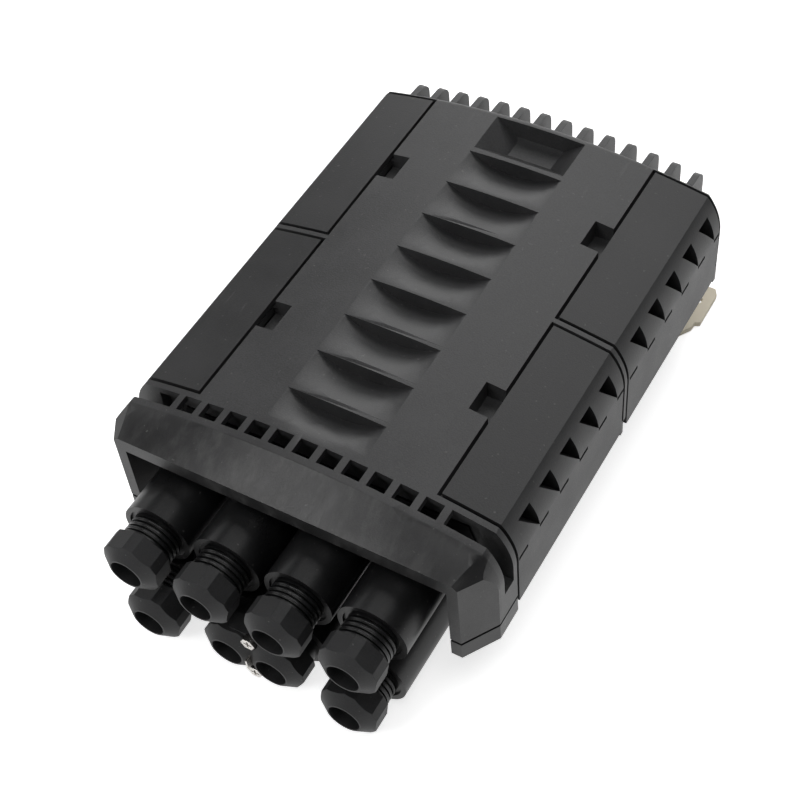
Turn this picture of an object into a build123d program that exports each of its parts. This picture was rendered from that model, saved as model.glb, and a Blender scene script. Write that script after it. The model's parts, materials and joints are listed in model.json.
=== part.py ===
from build123d import *
import math
import os

# Overall form, in millimetres. X is across the closure, Y runs from the ports to the fins.
half_width = 100.0
edge_inset = 8.0
edge_half = half_width - edge_inset
roof_radius = 440.0
crown_z = 101.6
flank_foot_z = 70.0
seam_z = 44.0
hood_front_y = -26.0
ridge_y = -8.0
rear_wall_y = 234.0

# Cover shell
hood_edge_z = 88.8
nose_inset = 10.5
nose_half = half_width - nose_inset
corner_start_y = -9.3
hood_wall = 5.5
hood_lip_depth = 12.0
lip_drop = 8.3
hood_roof_wall = 6.0
roof_wall = 3.0
side_wall = 3.6
rear_wall = 4.0
cross_wall = 5.0
bulkhead_y = 10.0
rear_edge_round = 4.0
margin = 30.0

# Louvred groove
groove_half = 26.0
land = 2.4
louver_count = 8
louver_pitch = 24.77
first_land_y = 27.2
louver_depth = 9.0
pocket_floor_z = 90.4
pocket_floor_half = 12.2
pocket_floor_near = 215.6
pocket_rear_y = 229.2
pocket_ramp_run = 3.2
pocket_ramp_rise = 1.0
groove_skin = 3.4

# Vents
vent_pitch = 12.64
vent_count = 11
vent_width = 9.1
vent_front_y = -4.0
vent_rear_y = 4.4
wide_vent_inset = 28.7
wide_vent_start = half_width - wide_vent_inset
wide_vent_foot_z = 61.0
wide_vent_well_z = 48.0
wide_vent_wall = 6.0
vent_lip = 3.6

# Rear fins
fin_count = 14
fin_pitch = 12.28
fin_thickness = 3.6
fin_reach = 16.0
fin_drop = 3.9
fin_flat = 9.0
fin_slope_fall = 0.7
fin_round_fall = 7.4

# Latches
latch_width = 37.0
latch_inner = half_width - latch_width
latch_gap = 1.1
front_latch_y = 8.6
front_latch_end = 116.8
latch_spacing = 4.7
rear_latch_y = front_latch_end + latch_spacing
rear_latch_end = rear_wall_y - 3.7
panel_wall = 3.6
plate_wall = 3.2
latch_foot_z = seam_z - 6.6
grip_reach = 11.0
slot_length = 17.2
slot_width = 10.8
slot_depth = 9.0
slot_skin = 2.4
slot_share = 0.53

# Finger pockets in the latch flanks
finger_count = 5
finger_pitch = 19.95
finger_first = 7.3
finger_run = finger_pitch - 1.0
finger_rise = 8.0
finger_line = 8.5

# Latch hinges
pivot_inset = 4.8
pivot_x = half_width - pivot_inset
pivot_z = latch_foot_z + 3.2
barrel_radius = 2.8
pin_radius = 1.2
pin_clearance = 0.05
lug_radius = 2.5
lug_width = 8.0
lug_gap = 0.4
lug_inset = 20.0

# Base shell
floor_wall = 4.0
tub_inset = 18.0
tub_half = half_width - tub_inset
tub_wall = 3.5
tub_front_y = bulkhead_y
tub_corner = 9.0
flange_thickness = 12.0
flange_low_z = seam_z - flange_thickness
flange_inset = 9.0
flange_half = half_width - flange_inset
gasket_height = 1.6
gasket_width = 3.2
bulkhead_wall = cross_wall
saddle_inset = 25.0
saddle_half = half_width - saddle_inset
saddle_z = 78.0
saddle_foot_inset = 14.0
saddle_foot_half = half_width - saddle_foot_inset

# Ports
tube_radius = 17.6
port_gap = 2.9
port_pitch = 2 * tube_radius + port_gap
port_z = 57.8
lower_port_z = 19.0
lower_port_shift = 3.75
lower_port_x = 1.5 * port_pitch - lower_port_shift
tube_end_y = -46.0
end_ring = 2.6
end_ring_depth = 1.2
neck_radius = 12.9
neck_reach = 18.0
neck_end_y = tube_end_y - neck_reach
thread_depth = 1.2
thread_pitch = 2.6
thread_groove = 0.9
port_bore = 10.4

# Gland nuts
nut_back_y = tube_end_y - 10.8
nut_length = 14.2
nut_front_y = nut_back_y - nut_length
nut_flat = 14.3
nut_corner = 15.0
nut_turns = (-25.0, -16.0, -17.0, -20.0, -14.0, -22.0)
nut_face_radius = 8.9
nut_seat_gap = 1.5
nut_cone = 5.5
nut_clearance = 0.05
cable_bore = 8.0
seal_back_y = tube_end_y - 4.0
seal_radius = 10.3

# Oval twin port
oval_offset = 12.0
oval_tube_radius = 16.8
oval_neck_radius = neck_radius
oval_cap_wall = 2.6
oval_neck_reach = 4.0
oval_cap_back_y = tube_end_y - 7.0
oval_cap_length = 14.0
oval_cap_front_y = oval_cap_back_y - oval_cap_length
oval_seal_back_y = tube_end_y - 2.0
screw_rise = 12.6
web_half = screw_rise + 2.6
screw_head = 3.9
screw_head_height = 3.4
screw_shank = 1.9
screw_length = 16.0
strip_height = 7.0
strip_wall = 1.0

# Mounting plate under the rear of the base
plate_tuck = 34.0
plate_front_y = rear_wall_y - plate_tuck
plate_rear_y = rear_wall_y + 19.0
plate_half = half_width - 4.0
plate_front_half = plate_half - 22.0
plate_ear_run = 26.0
plate_ear_y = plate_rear_y - plate_ear_run
plate_thickness = 3.2
plate_gap = 0.3
plate_screw_x = tub_half - 22.0
plate_screw_y = plate_front_y + 14.0
plate_screw_radius = 2.0
plate_head_radius = 3.8
plate_head_height = 2.0
plate_hole_x = plate_half - 8.0
plate_hole_y = plate_rear_y - 11.5
plate_hole_radius = 2.75
boss_radius = 5.0
boss_height = 14.0

# Splice trays and what carries them
tray_half = tub_half - 20.0
tray_setback = 52.0
tray_front_y = bulkhead_y + tray_setback
tray_rear_y = rear_wall_y - 22.0
tray_wall = 1.6
tray_rim = 6.4
tray_count = 3
tray_corner = 20.0
spool_radius = 17.0
spool_inset = 34.0
holder_ribs = 7
holder_pitch = 5.0
holder_half = 20.0
lid_wall = 1.4
strap_width = 20.0
strap_wall = 1.2
strap_gap = 0.2
strap_shift = 30.0
carrier_z = 18.0
carrier_wall = 2.5
carrier_post = 4.0
carrier_post_height = 25.5
post_inset = 12.0
post_radius = 5.0
carrier_border = 26.0
small_screw = 1.7
small_head = 3.2
small_head_height = 1.8
small_screw_length = 9.0

# Cable clamps behind the ports
rail_setback = 24.0
rail_y = bulkhead_y + rail_setback
rail_half = tub_half - 10.0
rail_width = 12.0
rail_wall = 3.0
rail_z = 26.0
rail_screw_x = rail_half - 8.0
clamp_reach = 7.0
clamp_wall = 1.5


def roof_z(x):
    return crown_z - roof_radius + math.sqrt(roof_radius**2 - x**2)


def flank_radius():
    run = half_width - edge_half
    rise = roof_z(edge_half) - flank_foot_z
    return (run**2 + rise**2) / (2 * run)


def flank_mid():
    radius = flank_radius()
    rise = roof_z(edge_half) - flank_foot_z
    angle = math.asin(rise / radius) / 2
    return half_width - radius + radius * math.cos(angle), flank_foot_z + radius * math.sin(angle)


def along_y(points, start, end):
    """Closed outline in X and Z, swept from one Y to another."""
    line = Polyline([(x, start, z) for x, z in points], close=True)
    return extrude(make_face(line), amount=end - start, dir=(0, 1, 0))


def block(x0, x1, y0, y1, z0, z1):
    size = Box(x1 - x0, y1 - y0, z1 - z0)
    return Pos((x0 + x1) / 2, (y0 + y1) / 2, (z0 + z1) / 2) * size


def rod_y(radius, x, z, start, end):
    rod = Cylinder(radius, abs(end - start))
    return Pos(x, (start + end) / 2, z) * Rot(90, 0, 0) * rod


def rod_z(radius, x, y, low, high):
    return Pos(x, y, (low + high) / 2) * Cylinder(radius, high - low)


def body_outline(start, end, foot):
    """The closure's outer section, from a foot level up over the crowned roof."""
    mx, mz = flank_mid()
    rz = roof_z(edge_half)
    edges = [
        Line((-half_width, start, foot), (-half_width, start, flank_foot_z)),
        ThreePointArc((-half_width, start, flank_foot_z), (-mx, start, mz), (-edge_half, start, rz)),
        ThreePointArc((-edge_half, start, rz), (0, start, crown_z), (edge_half, start, rz)),
        ThreePointArc((edge_half, start, rz), (mx, start, mz), (half_width, start, flank_foot_z)),
        Line((half_width, start, flank_foot_z), (half_width, start, foot)),
        Line((half_width, start, foot), (-half_width, start, foot)),
    ]
    return extrude(make_face(Wire(edges)), amount=end - start, dir=(0, 1, 0))


def both_sides(shape):
    return shape + mirror(shape, about=Plane.YZ)


def latch_bed(inset):
    """Inner boundary of a latch, moved towards the middle of the closure by an inset."""
    inner = latch_inner - inset
    drop = panel_wall + inset
    hip = edge_half - 5.5 - inset
    knee = half_width - grip_reach - inset
    low = latch_foot_z - margin
    return [
        (inner, crown_z + margin),
        (inner, roof_z(latch_inner) - drop),
        (hip, roof_z(hip) - drop - 0.6),
        (knee, flank_foot_z + 1),
        (half_width - plate_wall - inset, flank_foot_z - 5 - inset),
        (half_width - plate_wall - inset, low),
        (half_width + margin, low),
        (half_width + margin, crown_z + margin),
    ]


def slant_cutter():
    """What lies above the hood's slanted front face: a curved ridge down to a straight lower edge."""
    top = crown_z + margin
    wide = half_width + margin / 3
    over = 1.0
    fall = (roof_z(0) - hood_edge_z) / (ridge_y - hood_front_y)
    ridge = [
        ThreePointArc((-wide, ridge_y, roof_z(wide)), (0, ridge_y, crown_z), (wide, ridge_y, roof_z(wide))),
        Line((wide, ridge_y, roof_z(wide)), (wide, ridge_y, top)),
        Line((wide, ridge_y, top), (-wide, ridge_y, top)),
        Line((-wide, ridge_y, top), (-wide, ridge_y, roof_z(wide))),
    ]
    y = hood_front_y - over
    z = hood_edge_z - fall * over
    lower = [
        Line((-wide, y, z), (wide, y, z)),
        Line((wide, y, z), (wide, y, top)),
        Line((wide, y, top), (-wide, y, top)),
        Line((-wide, y, top), (-wide, y, z)),
    ]
    return loft([make_face(Wire(ridge)), make_face(Wire(lower))], ruled=True)


def corner_cutter():
    """Takes the upright bevel off a front corner, right side."""
    far = half_width + margin
    slope = (corner_start_y - hood_front_y) / (half_width - nose_half)
    y_far = corner_start_y + slope * (far - half_width)
    y_near = hood_front_y - margin
    x_near = nose_half - margin / slope
    line = Polyline([(x_near, y_near, -margin), (far, y_near, -margin), (far, y_far, -margin)], close=True)
    return extrude(make_face(line), amount=crown_z + 2 * margin, dir=(0, 0, 1))


def facet_cutter():
    """Takes the small diagonal facet off a top front corner, right side."""
    a = Vector(edge_half + 0.2, ridge_y, roof_z(edge_half))
    b = Vector(nose_half - 3.3, hood_front_y, hood_edge_z)
    c = Vector(nose_half + 0.6, hood_front_y, hood_edge_z - 3.0)
    normal = (b - a).cross(c - a).normalized()
    if normal.X < 0:
        normal = normal * -1
    plane = Plane(origin=b, z_dir=normal)
    return plane * Pos(0, 0, margin) * Box(3 * margin, 3 * margin, 2 * margin)


def louver_cutter(land_y, next_y):
    """A scoop: deep against the wall under one land, flush at the next."""
    lift = 4.0
    side = roof_z(groove_half)
    near = next_y + land
    deep = [
        ThreePointArc((-groove_half, land_y, side), (0, land_y, crown_z - louver_depth),
                      (groove_half, land_y, side)),
        Line((groove_half, land_y, side), (groove_half, land_y, side + lift)),
        Line((groove_half, land_y, side + lift), (-groove_half, land_y, side + lift)),
        Line((-groove_half, land_y, side + lift), (-groove_half, land_y, side)),
    ]
    flush = [
        ThreePointArc((-groove_half, near, side), (0, near, crown_z), (groove_half, near, side)),
        Line((groove_half, near, side), (groove_half, near, side + lift)),
        Line((groove_half, near, side + lift), (-groove_half, near, side + lift)),
        Line((-groove_half, near, side + lift), (-groove_half, near, side)),
    ]
    return loft([make_face(Wire(deep)), make_face(Wire(flush))], ruled=True)


def pocket_cutter(last_land_y):
    """The deep pocket behind the last land, with a flat floor and leaning flanks."""
    top_z = crown_z + 2
    grow = (top_z - pocket_floor_z) / (crown_z - pocket_floor_z)

    def reach(low, high):
        return low + (high - low) * grow

    half = reach(pocket_floor_half, groove_half)
    near = reach(pocket_floor_near, last_land_y + land)
    far = pocket_rear_y
    floor = Pos(0, (pocket_floor_near + far) / 2, pocket_floor_z) * Rectangle(
        2 * pocket_floor_half, far - pocket_floor_near)
    mouth = Pos(0, (near + far) / 2, top_z) * Rectangle(2 * half, far - near)
    return loft([floor, mouth], ruled=True)


def pocket_ramp():
    """Shallow ramp that closes the corner between the pocket's floor and its rear wall."""
    x = -groove_half
    start = pocket_rear_y - pocket_ramp_run
    end = pocket_rear_y + 1
    low = pocket_floor_z - 1
    top = pocket_floor_z + pocket_ramp_rise
    line = Polyline([(x, start, low), (x, start, pocket_floor_z), (x, pocket_rear_y, top), (x, end, top),
                     (x, end, low)], close=True)
    return extrude(make_face(line), amount=2 * groove_half, dir=(1, 0, 0))


def groove_cutters():
    lands = [first_land_y + i * louver_pitch for i in range(louver_count)]
    cuts = [louver_cutter(lands[0], lands[0] - 0.75 * louver_pitch - land)]
    for low, high in zip(lands, lands[1:]):
        cuts.append(louver_cutter(high, low))
    cuts.append(pocket_cutter(lands[-1]))
    return cuts


def vent_cutters():
    cuts = []
    depth = crown_z - louver_depth
    for i in range(vent_count):
        x = (i - (vent_count - 1) / 2) * vent_pitch
        cuts.append(block(x - vent_width / 2, x + vent_width / 2, vent_front_y, vent_rear_y,
                          depth, crown_z + 5))
    wide = block(wide_vent_start, half_width + 5, vent_front_y, vent_rear_y, wide_vent_foot_z, crown_z + 5)
    wide += block(wide_vent_start, half_width - wide_vent_wall, vent_front_y, vent_rear_y,
                  wide_vent_well_z, crown_z)
    return cuts + [wide, mirror(wide, about=Plane.YZ)]


def fin(x):
    root = rear_wall_y - 1
    top = roof_z(x) - fin_drop
    back = rear_wall_y + fin_reach
    knee_y = rear_wall_y + fin_flat
    knee_z = top - fin_slope_fall
    bend = math.sqrt(0.5)
    mid_y = knee_y + bend * (back - knee_y)
    mid_z = knee_z - (1 - bend) * fin_round_fall
    low = knee_z - fin_round_fall
    edges = [
        Line((x, root, seam_z), (x, root, top)),
        Line((x, root, top), (x, knee_y, knee_z)),
        ThreePointArc((x, knee_y, knee_z), (x, mid_y, mid_z), (x, back, low)),
        Line((x, back, low), (x, back, seam_z)),
        Line((x, back, seam_z), (x, root, seam_z)),
    ]
    return extrude(make_face(Wire(edges)), amount=fin_thickness / 2, dir=(1, 0, 0), both=True)


def cover_cavity():
    """The sealed chamber: low in the middle under the louvres, stepped in beside the latches."""
    knee = half_width - grip_reach - latch_gap - side_wall
    mid = crown_z - louver_depth - groove_skin - 3.5
    bed = roof_z(latch_inner) - panel_wall - latch_gap - roof_wall
    points = [
        (0, mid), (groove_half + 4, mid), (groove_half + 7, bed + 1.5), (latch_inner - 5, bed),
        (knee - 3, roof_z(knee) - panel_wall - latch_gap - roof_wall - 1.5), (knee, flank_foot_z - 1),
        (knee, seam_z - 5), (0, seam_z - 5),
    ]
    outline = points + [(-x, z) for x, z in reversed(points[1:-1])]
    cavity = along_y(outline, bulkhead_y + cross_wall, rear_wall_y - rear_wall)
    low = roof_z(latch_inner) - slot_depth - slot_skin
    for mid in slot_places():
        half = slot_length / 2 + slot_skin
        well = block(latch_inner - slot_width - slot_skin, latch_inner, mid - half, mid + half, low, crown_z)
        cavity -= both_sides(well)
    return cavity


def hood_cavity():
    side = nose_half - hood_wall
    roof = roof_z(side) - hood_roof_wall
    lip = hood_edge_z - lip_drop
    front = block(-side, side, hood_front_y - 1, hood_front_y + hood_lip_depth + 1, seam_z - 5, lip)
    rear = block(-side, side, hood_front_y + hood_lip_depth, bulkhead_y, seam_z - 5, roof)
    steps = [side * i / 4 for i in range(-4, 5)]
    crown = [(x, roof_z(x) - vent_lip) for x in steps]
    head = along_y(crown + [(side, roof - 1), (-side, roof - 1)], ridge_y + 1,
                   front_latch_y - latch_gap - slot_skin / 2)
    return front + rear + head


def saddle_outline(grow, low):
    return [
        (-saddle_foot_half - grow, low), (saddle_foot_half + grow, low),
        (saddle_foot_half + grow, seam_z - gasket_height), (saddle_half + grow, saddle_z + grow),
        (-saddle_half - grow, saddle_z + grow), (-saddle_foot_half - grow, seam_z - gasket_height),
    ]


def slot_places():
    return [start + slot_share * (end - start) - slot_length / 2 + 5.6
            for start, end in ((front_latch_y, front_latch_end), (rear_latch_y, rear_latch_end))]


def pry_slots():
    cuts = []
    for mid in slot_places():
        top = roof_z(latch_inner - slot_width)
        cuts.append(block(latch_inner - slot_width, latch_inner + 1, mid - slot_length / 2,
                          mid + slot_length / 2, roof_z(latch_inner) - slot_depth, top + 5))
    return cuts


def cover_shell():
    shape = body_outline(hood_front_y, rear_wall_y, seam_z)
    rear_edges = shape.edges().group_by(Axis.Y)[-1].sort_by(Axis.Z)[-3:]
    shape = fillet(rear_edges, rear_edge_round)
    shape -= slant_cutter()
    shape -= both_sides(corner_cutter())
    shape -= both_sides(facet_cutter())
    bed = along_y(latch_bed(latch_gap), front_latch_y - latch_gap, front_latch_end + latch_gap)
    bed += along_y(latch_bed(latch_gap), rear_latch_y - latch_gap, rear_latch_end + latch_gap)
    shape -= both_sides(bed)
    for cut in pry_slots():
        shape -= cut
        shape -= mirror(cut, about=Plane.YZ)
    for cut in groove_cutters():
        shape -= cut
    shape += pocket_ramp()
    shape -= hood_cavity()
    shape -= cover_cavity()
    passage = along_y(saddle_outline(gasket_height, seam_z - 5), bulkhead_y - 0.01,
                      bulkhead_y + cross_wall + 0.01)
    shape -= passage
    for cut in vent_cutters():
        shape -= cut
    for i in range(fin_count):
        shape += fin((i - (fin_count - 1) / 2) * fin_pitch)
    return shape


def finger_cutters(start):
    """Scoops in a latch flank: an upright three-cornered wall that runs out towards the ports."""
    mx, mz = flank_mid()
    top = Vector(edge_half + 2.2, 0, roof_z(edge_half) - 7.2)
    deep = Vector(half_width - 9.2, 0, flank_foot_z + 3.4)
    foot = Vector(half_width - 0.4, 0, flank_foot_z)
    edge = foot - top
    out = Vector(-edge.Z, 0, edge.X).normalized()
    if out.X < 0:
        out = out * -1
    cuts = []
    for i in range(finger_count):
        y = start - finger_first - i * finger_pitch
        ends = (deep, deep + (top - deep) * 1.6, deep + (foot - deep) * 1.6)
        corners = [Vector(p.X, y, p.Z) for p in ends]
        face = make_face(Polyline(corners, close=True))
        direction = out * finger_rise + Vector(0, -finger_run, 0)
        cuts.append(extrude(face, amount=direction.length, dir=direction.normalized()))
        cuts.append(block(half_width - 1.2, half_width + 1, y, y + finger_line,
                          flank_foot_z - 0.6, flank_foot_z + 0.6))
    return cuts


def lug_places(start, end):
    return [start + lug_inset, end - lug_inset]


def latch(start, end):
    """Right-hand latch: roof panel, thick flank with finger scoops, and a side plate down to the hinge."""
    shape = body_outline(start, end, latch_foot_z) & along_y(latch_bed(0), start, end)
    shape += rod_y(barrel_radius, pivot_x, pivot_z, start, end)
    shape += block(pivot_x, half_width - 1, start, end, pivot_z - barrel_radius, pivot_z + barrel_radius)
    for cut in finger_cutters(end):
        shape -= cut
    for y in lug_places(start, end):
        gap = lug_width / 2 + lug_gap
        shape -= block(pivot_x - 6, pivot_x + lug_radius + lug_gap, y - gap, y + gap,
                       latch_foot_z - 1, pivot_z + barrel_radius + 1.2)
    shape -= rod_y(pin_radius + pin_clearance, pivot_x, pivot_z, start - 1, end + 1)
    return shape


def hinge_pin(start, end):
    return rod_y(pin_radius, pivot_x, pivot_z, start + 1, end - 1)


def hinge_lugs(start, end):
    shapes = []
    for y in lug_places(start, end):
        low, high = y - lug_width / 2, y + lug_width / 2
        lug = rod_y(lug_radius, pivot_x, pivot_z, low, high)
        lug += block(tub_half - 1, pivot_x, low, high, pivot_z - lug_radius + 0.3, pivot_z + lug_radius - 1)
        lug -= rod_y(pin_radius, pivot_x, pivot_z, low - 1, high + 1)
        shapes.append(lug)
    return shapes


def flange_plan():
    """Right half of the flange outline, from the port end to the rear."""
    top = half_width
    inner = flange_half
    gap = latch_gap
    return [
        (0, hood_front_y), (nose_half, hood_front_y), (top, corner_start_y), (top, front_latch_y - gap),
        (inner, front_latch_y - gap), (inner, front_latch_end + gap),
        (top - 1, front_latch_end + gap), (top - 1, rear_latch_y - gap), (inner, rear_latch_y - gap),
        (inner, rear_latch_end + gap), (top - 1, rear_latch_end + gap), (top - 1, rear_wall_y),
        (0, rear_wall_y),
    ]


def flange_top():
    return seam_z - gasket_height


def base_ports():
    shapes = []
    cuts = []
    places = [((i - 1.5) * port_pitch, port_z) for i in range(4)]
    places += [(-lower_port_x, lower_port_z), (lower_port_x, lower_port_z)]
    for x, z in places:
        shapes.append(rod_y(tube_radius, x, z, tube_end_y, tub_front_y + 1))
        neck = rod_y(neck_radius, x, z, neck_end_y, tube_end_y + 2)
        for k in range(int((tube_end_y - neck_end_y) / thread_pitch)):
            y = tube_end_y - 0.6 - k * thread_pitch
            ring = rod_y(neck_radius + 1, x, z, y - thread_groove, y)
            ring -= rod_y(neck_radius - thread_depth, x, z, y - thread_pitch, y + 1)
            neck -= ring
        shapes.append(neck)
        cuts.append(rod_y(tube_radius - end_ring, x, z, tube_end_y, tube_end_y + end_ring_depth)
                    - rod_y(neck_radius - 0.01, x, z, tube_end_y - 1, tube_end_y + end_ring_depth + 1))
        cuts.append(rod_y(port_bore, x, z, neck_end_y - 1, tub_front_y + bulkhead_wall + 1))
    return shapes, cuts


def oval(radius, start, end):
    """A stadium with its flats across X, swept along Y."""
    shape = block(-oval_offset, oval_offset, start, end, lower_port_z - radius, lower_port_z + radius)
    shape += rod_y(radius, -oval_offset, lower_port_z, start, end)
    shape += rod_y(radius, oval_offset, lower_port_z, start, end)
    return shape


def base_shell():
    right = flange_plan()
    plan = right + [(-x, y) for x, y in reversed(right[1:-1])]
    line = Polyline([(x, y, flange_low_z) for x, y in plan], close=True)
    shape = extrude(make_face(line), amount=flange_top() - flange_low_z, dir=(0, 0, 1))
    side = nose_half - hood_wall
    shape -= block(-side, side, hood_front_y - 1, tub_front_y, flange_low_z - 1, seam_z)
    tub = block(-tub_half, tub_half, tub_front_y, rear_wall_y - 2, 0, flange_low_z + 1)
    tub = fillet(tub.edges().filter_by(Axis.Z), tub_corner)
    tub = chamfer(tub.faces().sort_by(Axis.Z)[0].edges(), 2.5)
    shape += tub
    shape += along_y(saddle_outline(0, flange_low_z), tub_front_y, tub_front_y + bulkhead_wall)
    tubes, bores = base_ports()
    for tube in tubes:
        shape += tube
    shape += oval(oval_tube_radius, tube_end_y, tub_front_y + 1)
    shape += oval(oval_neck_radius, oval_cap_back_y - oval_neck_reach, tube_end_y + 1)
    inner = tub_half - tub_wall
    hollow = block(-inner, inner, tub_front_y + bulkhead_wall, rear_wall_y - 2 - tub_wall,
                   floor_wall + plate_thickness, seam_z)
    hollow = fillet(hollow.edges().filter_by(Axis.Z), tub_corner - tub_wall)
    shape -= hollow
    for bore in bores:
        shape -= bore
    shape -= oval(port_bore, oval_cap_back_y - oval_neck_reach - 1, tub_front_y + bulkhead_wall + 1)
    shape -= block(-half_width, half_width, plate_front_y - plate_gap, rear_wall_y, -1, plate_thickness)
    for x in (-plate_screw_x, plate_screw_x):
        shape += rod_z(boss_radius, x, plate_screw_y, plate_thickness, boss_height)
        shape -= rod_z(plate_screw_radius, x, plate_screw_y, 0, boss_height - 2)
    for screw_z in oval_screw_levels():
        shape -= rod_y(screw_shank, 0, screw_z, oval_cap_back_y - 10, screw_tip_y())
    for start, end in ((front_latch_y, front_latch_end), (rear_latch_y, rear_latch_end)):
        for lug in hinge_lugs(start, end):
            shape += lug
            shape += mirror(lug, about=Plane.YZ)
    for x, y in carrier_places():
        shape += rod_z(post_radius, x, y, floor_wall, carrier_z)
        shape -= rod_z(small_screw, x, y, carrier_z - small_screw_length + carrier_wall - 1, carrier_z + 1)
    for x in (-rail_screw_x, rail_screw_x):
        shape += rod_z(post_radius, x, rail_y, floor_wall, rail_z)
        shape -= rod_z(small_screw, x, rail_y, rail_z - small_screw_length + rail_wall - 1, rail_z + 1)
    return shape


def gasket():
    """One loop: flat on the flange at the sides and rear, arched over the port wall."""
    start = bulkhead_y + (bulkhead_wall - gasket_width) / 2
    end = start + gasket_width
    arch = along_y(saddle_outline(gasket_height, flange_top() - 5), start, end)
    arch -= along_y(saddle_outline(0, flange_top() - 6), start - 1, end + 1)
    arch -= block(-half_width, half_width, start - 1, end + 1, 0, flange_top())
    outer = saddle_foot_half + gasket_height
    rear = rear_wall_y - 0.4
    ring = block(-outer, outer, start, rear, flange_top(), seam_z)
    ring -= block(-outer + gasket_width, outer - gasket_width, start - 1, rear - gasket_width,
                  flange_top() - 1, seam_z + 1)
    ring -= along_y(saddle_outline(0, flange_top() - 6), start - 1, end + 1)
    return ring + arch


def nut_plane(y):
    return Plane(origin=(0, y, 0), x_dir=(1, 0, 0), z_dir=(0, -1, 0))


def nut_body(back, front):
    """Hexagon with its corners cut flat, coned at the front, centred on X = 0 and Z = 0."""
    length = back - front
    flats = RegularPolygon(nut_flat, 6, major_radius=False)
    corners = RegularPolygon(nut_corner, 6, major_radius=False, rotation=30)
    shape = extrude(nut_plane(back) * (flats & corners), amount=length)
    wide = nut_corner + 2
    cone = nut_plane(front + nut_cone / 2) * Cone(wide, nut_face_radius, nut_cone)
    cone += rod_y(wide, 0, 0, front + nut_cone, back)
    return shape & cone


def nut_seat_y():
    return neck_end_y - nut_seat_gap


def gland_nut(x, z, turn):
    shape = Rot(0, turn, 0) * nut_body(nut_back_y, nut_front_y)
    shape -= rod_y(neck_radius + nut_clearance, 0, 0, nut_back_y + 1, nut_seat_y())
    shape -= rod_y(cable_bore, 0, 0, nut_seat_y() + 1, nut_front_y - 1)
    return Pos(x, 0, z) * shape


def gland_seal(x, z):
    shape = rod_y(seal_radius, 0, 0, seal_back_y, nut_seat_y())
    shape -= rod_y(cable_bore, 0, 0, seal_back_y + 1, nut_seat_y() - 1)
    return Pos(x, 0, z) * shape


def oval_seat_y():
    return oval_cap_back_y - oval_neck_reach - nut_seat_gap


def oval_screw_levels():
    return [lower_port_z + screw_rise, lower_port_z - screw_rise]


def screw_tip_y():
    return oval_head_y() + screw_length


def oval_head_y():
    return oval_cap_front_y + nut_cone


def oval_cap():
    """Two nut forms in one moulding over the oval neck, with a flat web that takes the two screws."""
    nut = Pos(0, 0, lower_port_z) * nut_body(oval_cap_back_y, oval_cap_front_y)
    shape = Pos(-oval_offset, 0, 0) * nut + Pos(oval_offset, 0, 0) * nut
    shape += block(-oval_offset, oval_offset, oval_head_y(), oval_cap_back_y,
                   lower_port_z - web_half, lower_port_z + web_half)
    shape -= oval(oval_neck_radius + nut_clearance, oval_seat_y(), oval_cap_back_y + 1)
    for x in (-oval_offset, oval_offset):
        shape -= rod_y(cable_bore, x, lower_port_z, oval_cap_front_y - 1, oval_seat_y() + 1)
    for z in oval_screw_levels():
        shape -= rod_y(screw_head + 0.3, 0, z, oval_head_y(), oval_cap_front_y - 1)
        shape -= rod_y(screw_shank + 0.2, 0, z, oval_head_y() - 1, oval_cap_back_y + 1)
    shape -= block(-strip_wall / 2, strip_wall / 2, oval_cap_front_y - 1, oval_head_y() + 1,
                   lower_port_z - strip_height / 2, lower_port_z + strip_height / 2)
    return shape


def oval_seal():
    shape = oval(seal_radius, oval_seat_y(), oval_seal_back_y)
    for x in (-oval_offset, oval_offset):
        shape -= rod_y(cable_bore, x, lower_port_z, oval_seat_y() - 1, oval_seal_back_y + 1)
    return shape


def oval_strip():
    return block(-strip_wall / 2, strip_wall / 2, oval_cap_front_y - 1.5, oval_head_y() + 1,
                 lower_port_z - strip_height / 2, lower_port_z + strip_height / 2)


def oval_screw(z):
    """Hexagon head with a cross recess, on a plain shank."""
    head = extrude(nut_plane(oval_head_y()) * RegularPolygon(screw_head, 6), amount=screw_head_height)
    front = oval_head_y() - screw_head_height
    head -= block(-2.2, 2.2, front - 1, front + 1.6, -0.45, 0.45)
    head -= block(-0.45, 0.45, front - 1, front + 1.6, -2.2, 2.2)
    head += rod_y(screw_shank, 0, 0, oval_head_y() - 0.5, screw_tip_y())
    return Pos(0, 0, z) * head


def mounting_plate():
    right = [
        (plate_front_half, plate_front_y), (plate_half - 7, plate_ear_y - 11.5),
        (plate_half - 3, plate_ear_y - 5.3), (plate_half - 2.6, plate_ear_y - 1.4),
        (plate_half, plate_ear_y), (plate_half, plate_rear_y - 3.6),
        (plate_half - 2.2, plate_rear_y),
    ]
    outline = right + [(-x, y) for x, y in reversed(right)]
    line = Polyline([(x, y, 0) for x, y in outline], close=True)
    shape = extrude(make_face(line), amount=plate_thickness, dir=(0, 0, 1))
    for side in (-1, 1):
        shape -= rod_z(plate_hole_radius, side * plate_hole_x, plate_hole_y, -1, plate_thickness + 1)
        shape -= rod_z(plate_screw_radius + 0.3, side * plate_screw_x, plate_screw_y,
                       -1, plate_thickness + 1)
        shape -= rod_z(plate_head_radius + 0.3, side * plate_screw_x, plate_screw_y, -1, plate_head_height)
    return shape


def plate_screw(x):
    shape = rod_z(plate_head_radius, x, plate_screw_y, 0.2, plate_head_height)
    return shape + rod_z(plate_screw_radius, x, plate_screw_y, plate_head_height - 0.5, boss_height - 3)


def carrier_places():
    return [(x, y) for x in (-tray_half + post_inset, tray_half - post_inset)
            for y in (tray_front_y + post_inset, tray_rear_y - post_inset)]


def small_screw_at(x, y, seat):
    shape = rod_z(small_head, x, y, seat, seat + small_head_height)
    return shape + rod_z(small_screw, x, y, seat - small_screw_length + 2, seat + 0.5)


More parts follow.
